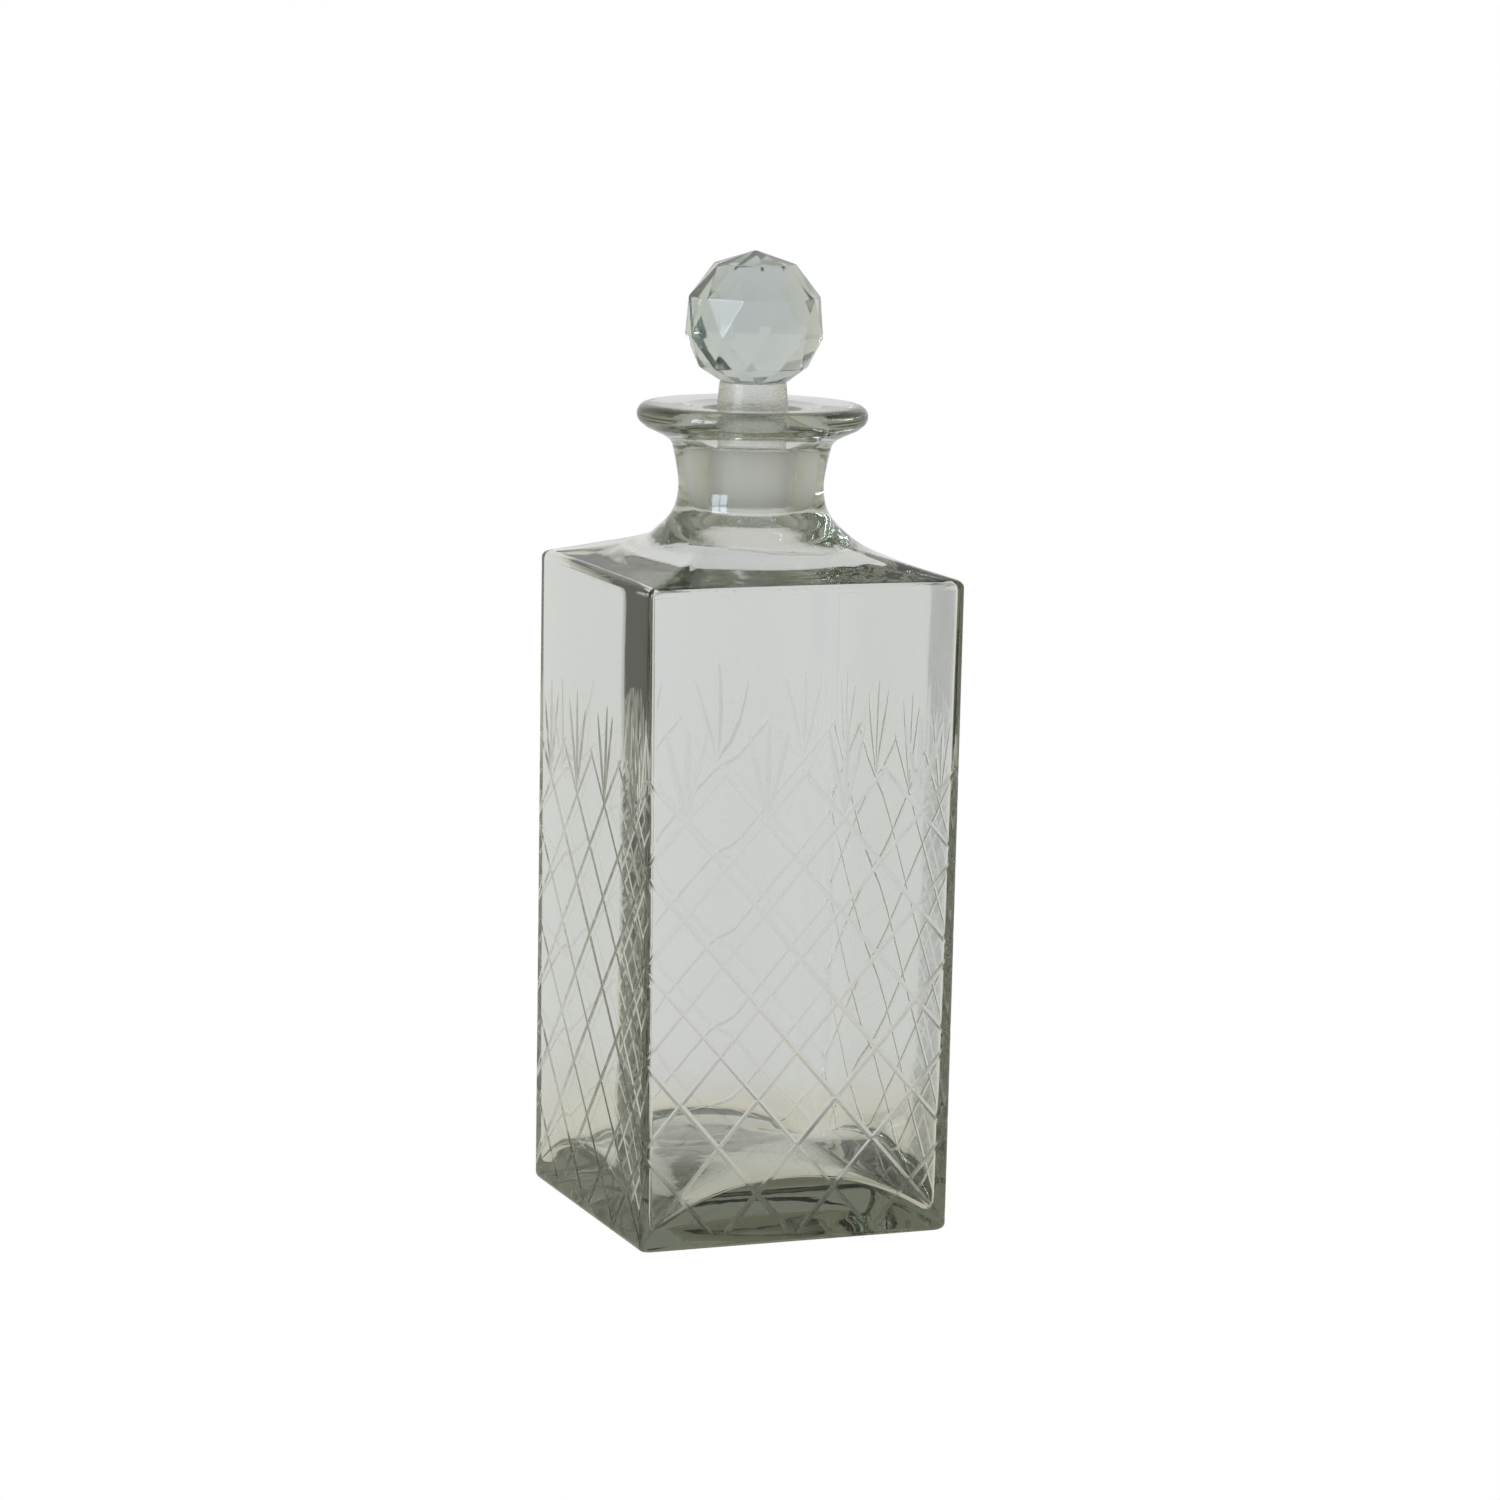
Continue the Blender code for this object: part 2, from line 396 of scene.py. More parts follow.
def outer_top():
    """From the top of the cut wall over the shoulder, up the waisted neck and round the lip."""
    edge = [
        (WALL_HIGH, wall_half(WALL_HIGH), 0),
        (BODY_HEIGHT - EDGE_DROP, HALF, 0),
        (BODY_HEIGHT - 0.3, HALF - 0.3, 0),
        (BODY_HEIGHT + 0.5, HALF - 1.1, 0),
        (BODY_HEIGHT + 1.2, HALF - 3, 0.01),
        (BODY_HEIGHT + 2.6, HALF - 7, 0.08),
        (BODY_HEIGHT + 4.2, HALF - 10.5, 0.25),
        (BODY_HEIGHT + 6.0, HALF - 14, 0.58),
        (BODY_HEIGHT + 8.6, HALF - 17.4, 1),
    ]
    neck = [
        (192.0, 25.5, 1),
        (194.4, 23.0, 1),
        (196.6, 21.6, 1),
        (198.8, 20.7, 1),
        (202.5, 20.1, 1),
        (206.0, 20.2, 1),
        (209.6, 20.8, 1),
        (213.0, 21.5, 1),
        (215.8, 22.4, 1),
        (217.5, 24.5, 1),
        (218.6, 26.8, 1),
        (219.8, 29.4, 1),
    ]
    rings = sections(edge + neck, 3)
    rings += arc(LIP_TOP - LIP_ROUND, LIP_RADIUS - LIP_ROUND, LIP_ROUND, -55, 90, 12, 1)
    # The lip's top falls a little towards the mouth
    rings.append(section(LIP_TOP - 0.2, 24, 1))
    rings.append(section(LIP_TOP - 0.4, MOUTH_RADIUS + 1.5, 1))
    return rings


def mouth_and_bore():
    """The mouth curves in as a quarter ellipse to the ground taper, which follows the plug."""
    bore_top = PLUG_TOP_RADIUS + BORE_GAP
    mouth_top = LIP_TOP - MOUTH_DROP
    mouth = []
    for turn in np.radians(np.linspace(90, 0, 10)):
        radius = MOUTH_RADIUS - (MOUTH_RADIUS - bore_top) * math.cos(turn)
        mouth.append(section(GROUND_TOP + (mouth_top - GROUND_TOP) * math.sin(turn), radius, 1))
    bore = []
    for step in np.linspace(0, 1, 9)[1:]:
        radius = bore_top + (PLUG_BOTTOM_RADIUS + BORE_GAP - bore_top) * step
        bore.append(section(GROUND_TOP + (GROUND_BOTTOM - 1 - GROUND_TOP) * step, radius, 1))
    return mouth, bore


def inside():
    """The shoulder from within, steep below the neck and nearly level above the walls, then the
    walls, whose middles bow in, and the domed floor, which is low in its corners."""
    levels = [
        # height, half width, roundness, bow
        (GROUND_BOTTOM - 1, PLUG_BOTTOM_RADIUS + BORE_GAP, 1, 0),
        (194.8, 12.5, 1, 0),
        (190.2, 19.0, 1, 0),
        (186.8, 24.5, 0.95, 0),
        (184.5, 28.0, 0.7, 0),
        (182.1, 31.5, 0.42, 0),
        (181.2, 36.5, 0.14, 0),
        (180.6, 41.4, 0.02, 0),
        (180.3, 43.2, 0, 0.5),
        (179.2, 43.9, 0, 1.1),
    ]
    for z in (176, 150, 110, 80, 60, 40):
        half = FOOT_HALF - CORNER_WALL_FOOT
        half += (HALF - CORNER_WALL_TOP - half) * z / BODY_HEIGHT
        levels.append((z, half, 0, BOW))
    rings = []
    for z, half, blend, bow in smooth(levels, 4)[1:]:
        rings.append(section(z, half, min(max(blend, 0), 1), INNER_CORNER_RADIUS, 0, max(bow, 0)))
    drop = FLOOR_MIDDLE - FLOOR_CORNER
    # Height above the floor, step in from the wall, share of the corners' drop
    floor = smooth([(17, 0, 0.2), (8, 0.1, 0.6), (2.2, 0.3, 0.95), (0.5, 1.4, 1), (0, 5, 0.93)], 5)
    for above, inset, share in floor:
        half = FOOT_HALF - CORNER_WALL_FOOT - inset
        rings.append(section(FLOOR_MIDDLE + above, half, 0, INNER_CORNER_RADIUS, drop * share, BOW))
    # Half width, roundness, drop at the corners
    dome = smooth([(37.3, 0, 10.7), (22, 0.5, 1.5), (10, 1, 0), (4, 1, 0)], 5)
    for half, blend, fall in dome[1:]:
        blend = min(max(blend, 0), 1)
        bow = BOW * (1 - blend)
        rings.append(section(FLOOR_MIDDLE, half, blend, INNER_CORNER_RADIUS, max(fall, 0), bow))
    return rings


def underside():
    """The shallow punt, a parabola, then the flat ring and the round foot up to the cut wall."""
    rings = [
        section(PUNT_DEPTH * (1 - share**2), PUNT_RADIUS * share, 1) for share in np.linspace(0.1, 1, 10)
    ]
    # Half way across the flat ring, where round turns square
    rings.append(section(0, 37, 0.4))
    for turn in np.radians(np.linspace(0, 90, 7)):
        half = FOOT_HALF - FOOT_RADIUS * (1 - math.sin(turn))
        rings.append(section(FOOT_RADIUS * (1 - math.cos(turn)), half))
    rings.append(section(WALL_LOW, wall_half(WALL_LOW)))
    return rings


# ---------------------------------------------------------------- the cuts


def millimetres(length):
    """A setting's length in millimetres, to the micrometre and in a setting's single precision."""
    return float(np.float32(round(length / MM, 3)))


def clip_cut(cut, left, right, low, high):
    """The stretch of a straight cut inside a rectangle, or None if hardly any of it is inside."""
    (x0, z0), (x1, z1) = cut
    start, end = 0.0, 1.0
    for low_side, high_side, a, b in ((left, right, x0, x1), (low, high, z0, z1)):
        if a == b:
            continue
        t0, t1 = sorted(((low_side - a) / (b - a), (high_side - a) / (b - a)))
        start, end = max(start, t0), min(end, t1)
    if end - start < 0.02:
        return None
    return (
        (x0 + (x1 - x0) * start, z0 + (z1 - z0) * start),
        (x0 + (x1 - x0) * end, z0 + (z1 - z0) * end),
    )


def face_cuts(settings, random):
    """Cuts of one face as rows: start x and z, end x and z, width, depth, taper. The lattice is two
    families of slanting lines, each ending at the top row of points, and a fan stands between them."""
    cut_width = millimetres(settings.cut_width)
    cut_depth = millimetres(settings.cut_depth)
    diamond = millimetres(settings.diamond_height)
    top_row = millimetres(settings.lattice_top)
    pitch = 2 * HALF / settings.columns
    slope = diamond / pitch
    run = (top_row - WALL_LOW) / slope
    reach = HALF - CUT_MARGIN
    cuts = []
    rows = int(round((top_row - WALL_LOW) / diamond)) + settings.columns
    for side in (-1, 1):
        for row in range(1, rows + 1):
            top = top_row + random.normal(0, 0.5) + CUT_OVERSHOOT
            foot = side * (-HALF + pitch * row) + random.normal(0, 0.35)
            slip = random.normal(0, 0.35)
            past = side * CUT_OVERSHOOT / slope
            line = ((foot + past, top), (foot - side * run + slip, WALL_LOW + 0.5))
            clipped = clip_cut(line, -reach, reach, WALL_LOW + 0.5, top)
            if clipped:
                width = cut_width * random.uniform(0.8, 1.2)
                depth = cut_depth * width / cut_width
                cuts.append((*clipped[0], *clipped[1], width, depth, LATTICE_TAPER))
    for column in range(settings.columns):
        x = -HALF + pitch * (column + 0.5) + random.normal(0, 0.3)
        z = top_row - 0.5 * diamond + 0.8
        for lean, length in FAN_STROKES:
            angle = math.radians(lean + random.normal(0, 1.2))
            length += random.normal(0, 0.8)
            end_x = np.clip(x + length * math.sin(angle), -reach, reach)
            end_z = z + length * math.cos(angle)
            width = cut_width * random.uniform(1.05, 1.3)
            cuts.append((x, z, end_x, end_z, width, 1.2 * cut_depth, FAN_TAPER))
    return np.array(cuts)


def cut_shape(along, length, taper):
    """Share of a cut's full width and depth: a half-ellipse rise over the taper at each end."""
    near = np.clip(np.minimum(along, length - along) / taper, 0, 1)
    return np.sqrt(np.clip(1 - (1 - near) ** 2, 0, 1))


def depth_at(points, cuts):
    """Depth of the V at each point: it falls evenly from a cut's middle line to nothing at its edges,
    and where cuts cross, the deeper one holds."""
    start, end = cuts[:, :2], cuts[:, 2:4]
    length = np.linalg.norm(end - start, axis=1)
    direction = (end - start) / length[:, None]
    offset = points[:, None, :] - start
    along = (offset * direction).sum(-1)
    across = np.abs(offset[..., 0] * direction[:, 1] - offset[..., 1] * direction[:, 0])
    share = cut_shape(along, length, cuts[:, 6]) * (along > 0) * (along < length)
    half_width = 0.5 * cuts[:, 4]
    fall = np.clip(share - across / half_width, 0, 1)
    return (fall * cuts[:, 5]).max(axis=1)


def cut_lines(cuts):
    """Points and edges along the middle and the two sides of every cut, about 1 mm apart."""
    points, edges, count = [], [], 0
    for x0, z0, x1, z1, width, _, taper in cuts:
        length = math.hypot(x1 - x0, z1 - z0)
        steps = max(int(length), 6)
        along = 0.5 * length * (1 - np.cos(np.linspace(0, math.pi, steps + 1)))
        ahead = np.array([(x1 - x0) / length, (z1 - z0) / length])
        aside = np.array([-ahead[1], ahead[0]])
        middle = np.array([x0, z0]) + along[:, None] * ahead
        spread = 0.5 * width * cut_shape(along, length, taper)[:, None] * aside
        for line in (middle, (middle + spread)[1:-1], (middle - spread)[1:-1]):
            points.append(line)
            edges += [(count + i, count + i + 1) for i in range(len(line) - 1)]
            count += len(line)
    return np.concatenate(points), edges


def wall_edge_points(z):
    """The section's points along the top or bottom of one face, both corners included."""
    x = np.append(shares(), 1.0) * HALF
    return np.column_stack([x, np.full(len(x), z)])


def fill_points(cuts):
    """Points on the plain glass between the cuts: a 3 mm grid, closer round the corners."""
    side = HALF * (1 - CORNER_SHARE)
    flat_x = np.linspace(-side, side, FILL_COLUMNS)
    turn_x = np.linspace(side, HALF, CORNER_STEPS + 1)[1:-1]
    x = np.concatenate([-turn_x, flat_x, turn_x])
    z = np.linspace(WALL_LOW, WALL_HIGH, FILL_ROWS)[1:-1]
    grid = np.stack(np.meshgrid(x, z), axis=-1).reshape(-1, 2)
    # Each cut's lines keep 0.4 mm of glass on either side to themselves
    wider = cuts.copy()
    wider[:, 4] += 0.8
    return grid[depth_at(grid, wider) <= 0]


def cut_wall(settings, face, random):
    """One face of the wall: a Delaunay mesh that keeps every cut's lines as edges, rolled round the
    corners and pushed in by the depth of the cuts. A grid can't follow cuts at several angles.
    Returns points, triangles and whether each triangle is in a cut."""
    cuts = face_cuts(settings, random)
    low, high = wall_edge_points(WALL_LOW), wall_edge_points(WALL_HIGH)
    rows = np.linspace(WALL_LOW, WALL_HIGH, FILL_ROWS)[1:-1]
    left = np.column_stack([np.full(len(rows), -HALF), rows])
    right = np.column_stack([np.full(len(rows), HALF), rows])
    lines, edges = cut_lines(cuts)
    points = np.concatenate([lines, low, high, left, right, fill_points(cuts)])
    made = delaunay_2d_cdt([Vector(p) for p in points], edges, [], 0, 1e-4)
    flat = np.array([tuple(p) for p in made[0]])
    triangles = np.array(made[2])
    depth = depth_at(flat, cuts)
    share = flat[:, 0] / HALF
    place = square_points(share, wall_half(flat[:, 1]), CORNER_RADIUS)
    side = 1 - CORNER_SHARE
    turn = np.sign(share) * np.clip((np.abs(share) - side) / CORNER_SHARE, 0, 1) * 0.25 * math.pi
    inwards = np.stack([-np.sin(turn), np.cos(turn)], axis=-1)
    place = (place + inwards * depth[:, None]) @ face_turn(face).T
    middle = flat[triangles].mean(axis=1)
    return np.column_stack([place, flat[:, 1]]), triangles, depth_at(middle, cuts) > MATT_DEPTH


def strips(rings, start):
    """Quads between rings of equal length, numbered from start. Each ring closes on itself."""
    count = len(rings[0])
    here = np.arange(count)
    after = (here + 1) % count
    base = start + np.arange(len(rings) - 1)[:, None] * count
    quads = np.stack([base + here, base + after, base + count + after, base + count + here], axis=-1)
    return quads.reshape(-1, 4)


# ---------------------------------------------------------------- mesh helpers


def closed_mesh(name, points, faces, smooth_angle, matt=None):
    """A welded, closed mesh whose faces point out of the glass, smooth up to an angle in degrees.
    matt is the roughness of each face, kept as an attribute of that name."""
    mesh = bpy.data.meshes.new(name)
    mesh.from_pydata((np.asarray(points) * MM).tolist(), [], [list(face) for face in faces])
    if matt is not None:
        mesh.attributes.new("matt", "FLOAT", "FACE").data.foreach_set("value", matt)
    build = bmesh.new()
    build.from_mesh(mesh)
    bmesh.ops.remove_doubles(build, verts=build.verts, dist=0.003 * MM)
    bmesh.ops.recalc_face_normals(build, faces=build.faces)
    loose = [edge for edge in build.edges if not edge.is_manifold]
    if loose:
        raise RuntimeError(f"{name} is open at {len(loose)} edges, near {loose[0].verts[0].co}")
    build.to_mesh(mesh)
    build.free()
    mesh.shade_smooth()
    mesh.set_sharp_from_angle(angle=math.radians(smooth_angle))
    return mesh


def add_piece(name, mesh, material, body, node):
    """A piece that rides on a body, stands for a CAD node and takes its finish from a slot."""
    mesh.materials.append(material)
    piece = bpy.data.objects.new(name, mesh)
    bpy.context.scene.collection.objects.link(piece)
    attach(piece, body)
    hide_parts(node)
    return piece


def turned(profile, steps):
    """Points and faces of a profile of radius and height turned round the axis, its ends closed."""
    profile = np.asarray(profile, float)
    turn = np.linspace(0, 2 * math.pi, steps, endpoint=False)
    x = profile[:, :1] * np.cos(turn)
    y = profile[:, :1] * np.sin(turn)
    z = np.repeat(profile[:, 1:], steps, axis=1)
    points = np.stack([x, y, z], axis=-1)
    faces = strips(list(points), 0).tolist()
    faces.append(list(range(steps)))
    faces.append(list(range(len(profile) * steps - 1, (len(profile) - 1) * steps - 1, -1)))
    return points.reshape(-1, 3), faces


# ---------------------------------------------------------------- materials


def add_node(tree, kind, settings=None, inputs=None, links=None):
    """One node with its settings, the values of its sockets, and its links from other nodes."""
    node = tree.nodes.new(kind)
    for name, value in (settings or {}).items():
        setattr(node, name, value)
    for name, value in (inputs or {}).items():
        node.inputs[name].default_value = value
    for name, socket in (links or {}).items():
        tree.links.new(socket, node.inputs[name])
    return node


def mixed(tree, share, first, second):
    """A colour between two, each a linear RGBA value or another node's output."""
    mix = add_node(tree, "ShaderNodeMix", {"data_type": "RGBA"}, links={0: share})
    for socket, colour in ((6, first), (7, second)):
        if isinstance(colour, bpy.types.NodeSocket):
            tree.links.new(colour, mix.inputs[socket])
        else:
            mix.inputs[socket].default_value = colour
    return mix.outputs[2]


def glass_material(name, roughness, tint, density):
    """Glass with its shader, its depth of colour and its output. Returns the material and shader."""
    material = bpy.data.materials.new(name)
    material.use_nodes = True
    tree = material.node_tree
    tree.nodes.clear()
    shader = add_node(
        tree,
        "ShaderNodeBsdfPrincipled",
        inputs={
            "Base Color": linear("FFFFFF"),
            "Roughness": roughness,
            "IOR": 1.52,
            "Transmission Weight": 1.0,
        },
    )
    depth = add_node(
        tree, "ShaderNodeVolumeAbsorption", inputs={"Color": tint, "Density": density}
    )
    output = add_node(tree, "ShaderNodeOutputMaterial")
    tree.links.new(shader.outputs[0], output.inputs["Surface"])
    tree.links.new(depth.outputs[0], output.inputs["Volume"])
    return material, shader


def grain(material, shader, scale, stretch, strength, distance):
    """Fine relief on Object coordinates: noise with this many cells to the metre, stretched by axis."""
    tree = material.node_tree
    place = add_node(tree, "ShaderNodeTexCoord")
    mapping = add_node(
        tree, "ShaderNodeMapping", inputs={"Scale": stretch}, links={"Vector": place.outputs["Object"]}
    )
    noise = add_node(
        tree,
        "ShaderNodeTexNoise",
        inputs={"Scale": scale, "Detail": 3.0, "Roughness": 0.6},
        links={"Vector": mapping.outputs[0]},
    )
    bump = add_node(
        tree,
        "ShaderNodeBump",
        inputs={"Strength": strength, "Distance": distance},
        links={"Height": noise.outputs["Fac"]},
    )
    tree.links.new(bump.outputs[0], shader.inputs["Normal"])
    return noise


def blown_cut_glass(tint, density):
    """Soda-lime glass, mould-blown and fire-polished: clear, with a slow wave 14 mm long that bends
    what is behind it, and crinkles 5 mm long at the thick base and above the top edge, where the
    glass chilled unevenly. Where it's cut or ground it's a whitish matt, with grain 0.4 mm long."""
    material, shader = glass_material("blown_soda_lime_glass", 0.0, tint, density)
    tree = material.node_tree
    matt = add_node(tree, "ShaderNodeAttribute", {"attribute_name": "matt"}).outputs["Fac"]
    place = add_node(tree, "ShaderNodeTexCoord").outputs["Object"]
    height = add_node(tree, "ShaderNodeSeparateXYZ", links={"Vector": place}).outputs["Z"]
    # The crinkles' share: none along the walls, all of it more than 86 mm above or below 98 mm
    middle = add_node(tree, "ShaderNodeMath", {"operation": "SUBTRACT"}, {1: 98 * MM}, {0: height})
    away = add_node(tree, "ShaderNodeMath", {"operation": "ABSOLUTE"}, links={0: middle.outputs[0]})
    ends = add_node(
        tree,
        "ShaderNodeMapRange",
        inputs={"From Min": 79 * MM, "From Max": 86 * MM},
        links={"Value": away.outputs[0]},
    )
    relief = None
    # Length in mm, height against the wave's, and what it's limited to
    for length, share, limit in ((14, 1.0, None), (5, 1.6, ends.outputs[0]), (0.4, 0.8, matt)):
        noise = add_node(
            tree,
            "ShaderNodeTexNoise",
            inputs={"Scale": 1 / (length * MM), "Detail": 2.0},
            links={"Vector": place},
        )
        part = add_node(
            tree, "ShaderNodeMath", {"operation": "MULTIPLY"}, {1: share}, {0: noise.outputs["Fac"]}
        )
        if limit:
            part = add_node(
                tree, "ShaderNodeMath", {"operation": "MULTIPLY"}, links={0: part.outputs[0], 1: limit}
            )
        if relief:
            part = add_node(
                tree, "ShaderNodeMath", {"operation": "ADD"}, links={0: part.outputs[0], 1: relief}
            )
        relief = part.outputs[0]
    bump = add_node(
        tree, "ShaderNodeBump", inputs={"Strength": 0.08, "Distance": 0.3 * MM}, links={"Height": relief}
    )
    tree.links.new(matt, shader.inputs["Roughness"])
    tree.links.new(bump.outputs[0], shader.inputs["Normal"])
    return material


def ground_joint_glass(roughness, tint, density):
    """Glass ground with grit in a turning chuck: frosted and streaky, with fine rings. The rings'
    0.5 mm pitch is coarser than real grit, so that it shows."""
    material, shader = glass_material("ground_plug_glass", roughness, tint, density)
    noise = grain(material, shader, 1 / (1.6 * MM), (1, 1, 3.5), 0.7, 0.2 * MM)
    tree = material.node_tree
    worn = add_node(
        tree,
        "ShaderNodeMapRange",
        inputs={
            "From Min": 0.35,
            "From Max": 0.65,
            "To Min": 0.4 * roughness,
            "To Max": 1.3 * roughness,
        },
        links={"Value": noise.outputs["Fac"]},
    )
    share = add_node(
        tree,
        "ShaderNodeMapRange",
        inputs={"From Min": 0.38, "From Max": 0.6},
        links={"Value": noise.outputs["Fac"]},
    )
    streak = mixed(tree, share.outputs[0], linear("EAE9E4"), linear("FFFFFF"))
    tree.links.new(worn.outputs[0], shader.inputs["Roughness"])
    tree.links.new(streak, shader.inputs["Base Color"])
    return material


def facet_polished_glass(tint, density):
    """Crystal with flat, wheel-polished facets, worn by handling: a little milky, cool in depth."""
    material, shader = glass_material("facet_polished_crystal", 0.1, tint, density)
    grain(material, shader, 1 / (6 * MM), (1, 1, 1), 0.12, 0.08 * MM)
    return material


# ---------------------------------------------------------------- operators


class DECANTER_OT_bottle(bpy.types.Operator):
    """Builds the bottle: cut walls, shoulder, neck, lip and cavity as one closed skin of glass"""

    bl_idname = "decanter.bottle"
    bl_label = "Build bottle"

    def execute(self, context):
        settings = context.scene.decanter_bottle
        random = np.random.default_rng(SEED)
        points, faces, matt, count = [], [], [], 0
        for face in range(4):
            place, triangles, cut = cut_wall(settings, face, random)
            points.append(place)
            faces += (triangles + count).tolist()
            matt += np.where(cut, CUT, POLISHED).tolist()
            count += len(place)
        outside = outer_top()
        mouth, bore = mouth_and_bore()
        within = np.array(inside())
        within = ripple(within.reshape(-1, 3), RIPPLE, RIPPLE_LENGTH, SEED).reshape(within.shape)
        below = np.array(underside())
        above = np.concatenate([outside, mouth, bore, within])
        ground_from = len(outside) + len(mouth) - 1
        ground_levels = range(ground_from, ground_from + len(bore))
        # Each stack of rings is closed by a face on its end: the punt's middle and the floor's
        for rings, ground, end in ((below, (), 0), (above, ground_levels, len(above) - 1)):
            ring = rings.shape[1]
            quads = strips(rings, count)
            faces += quads.tolist()
            level = (quads[:, 0] - count) // ring
            matt += np.where(np.isin(level, list(ground)), GROUND, POLISHED).tolist()
            faces.append([count + end * ring + i for i in range(ring)])
            matt.append(POLISHED)
            points.append(rings.reshape(-1, 3))
            count += rings.size // 3
        mesh = closed_mesh("bottle_glass", np.concatenate(points), faces, smooth_angle=14, matt=matt)
        material = blown_cut_glass(settings.tint, settings.depth_of_tint)
        add_piece("bottle_glass", mesh, material, "bottle", "bottle")
        return {"FINISHED"}


class DECANTER_OT_plug(bpy.types.Operator):
    """Turns the stopper's stem and its ground plug"""

    bl_idname = "decanter.plug"
    bl_label = "Build plug"

    def execute(self, context):
        settings = context.scene.decanter_stopper
        stem = smooth(
            [
                (STEM_TOP_RADIUS, STEM_TOP),
                (STEM_LIP_RADIUS, LIP_TOP),
                (STEM_LIP_RADIUS + 0.3, GROUND_TOP + 4),
                (PLUG_TOP_RADIUS - PLUG_CHAMFER, GROUND_TOP + PLUG_CHAMFER),
            ],
            8,
        )
        ground = [
            (PLUG_TOP_RADIUS - 0.15, GROUND_TOP),
            (PLUG_BOTTOM_RADIUS, GROUND_BOTTOM + PLUG_CHAMFER),
            (PLUG_BOTTOM_RADIUS - PLUG_CHAMFER, GROUND_BOTTOM),
        ]
        points, faces = turned(np.concatenate([stem, ground]), 144)
        mesh = closed_mesh("stopper_plug_glass", points, faces, smooth_angle=30)
        roughness = settings.ground_roughness
        material = ground_joint_glass(roughness, settings.tint, settings.plug_depth_of_tint)
        add_piece("stopper_plug_glass", mesh, material, "stopper", "stopper_plug")
        return {"FINISHED"}


class DECANTER_OT_knob(bpy.types.Operator):
    """Cuts the ball knob: rings of corners half a facet out of step, joined by flat facets"""

    bl_idname = "decanter.knob"
    bl_label = "Build knob"

    def execute(self, context):
        settings = context.scene.decanter_stopper
        centre = KNOB_TOP - KNOB_RADIUS
        down = np.radians(KNOB_RINGS)
        radius = np.append(KNOB_RADIUS * np.sin(down), KNOB_SEAT_RADIUS)
        height = np.append(centre + KNOB_RADIUS * np.cos(down), KNOB_SEAT)
        ring = np.arange(len(radius))[:, None]
        turn = (np.arange(KNOB_FACETS) + 0.5 * (ring % 2)) * 2 * math.pi / KNOB_FACETS
        turn = turn + math.radians(KNOB_TURN)
        x = radius[:, None] * np.cos(turn)
        y = radius[:, None] * np.sin(turn)
        z = np.broadcast_to(height[:, None], turn.shape)
        grid = np.stack([x, y, z], axis=-1)
        corners = np.concatenate([grid.reshape(-1, 3), [[0, 0, KNOB_TOP]]])
        build = bmesh.new()
        for corner in corners * MM:
            build.verts.new(corner)
        bmesh.ops.convex_hull(build, input=build.verts)
        flat = math.radians(0.5)
        bmesh.ops.dissolve_limit(build, angle_limit=flat, verts=build.verts, edges=build.edges)
        mesh = bpy.data.meshes.new("stopper_knob_glass")
        build.to_mesh(mesh)
        build.free()
        material = facet_polished_glass(settings.tint, settings.ball_depth_of_tint)
        knob = add_piece("stopper_knob_glass", mesh, material, "stopper", "stopper_knob")
        edge = knob.modifiers.new("facet edge", "BEVEL")
        edge.width = settings.facet_bevel
        edge.segments = 2
        edge.limit_method = "ANGLE"
        edge.angle_limit = math.radians(5)
        edge.harden_normals = False
        return {"FINISHED"}


class DECANTER_OT_stage(bpy.types.Operator):
    """Sets up the pale floor, the soft studio, the window light and the camera"""

    bl_idname = "decanter.stage"
    bl_label = "Build stage"

    def execute(self, context):
        settings = context.scene.decanter_stage
        build_floor(settings)
        build_world(settings)
        build_window(settings)
        build_camera()
        scene = context.scene
        scene.view_settings.view_transform = "Standard"
        scene.cycles.max_bounces = 32
        scene.cycles.transmission_bounces = 32
        scene.cycles.glossy_bounces = 16
        return {"FINISHED"}


# ---------------------------------------------------------------- stage


def side_share(tree, direction, near, far):
    """How far a direction points to the camera's left or right: 0 up to near, 1 from far on."""
    aside = (math.cos(math.radians(CAMERA_AZIMUTH)), math.sin(math.radians(CAMERA_AZIMUTH)), 0)
    side = add_node(tree, "ShaderNodeVectorMath", {"operation": "DOT_PRODUCT"}, {1: aside}, {0: direction})
    away = add_node(tree, "ShaderNodeMath", {"operation": "ABSOLUTE"}, links={0: side.outputs["Value"]})
    share = add_node(
        tree,
        "ShaderNodeMapRange",
        {"interpolation_type": "SMOOTHSTEP"},
        {"From Min": near, "From Max": far},
        {"Value": away.outputs[0]},
    )
    return share.outputs[0]


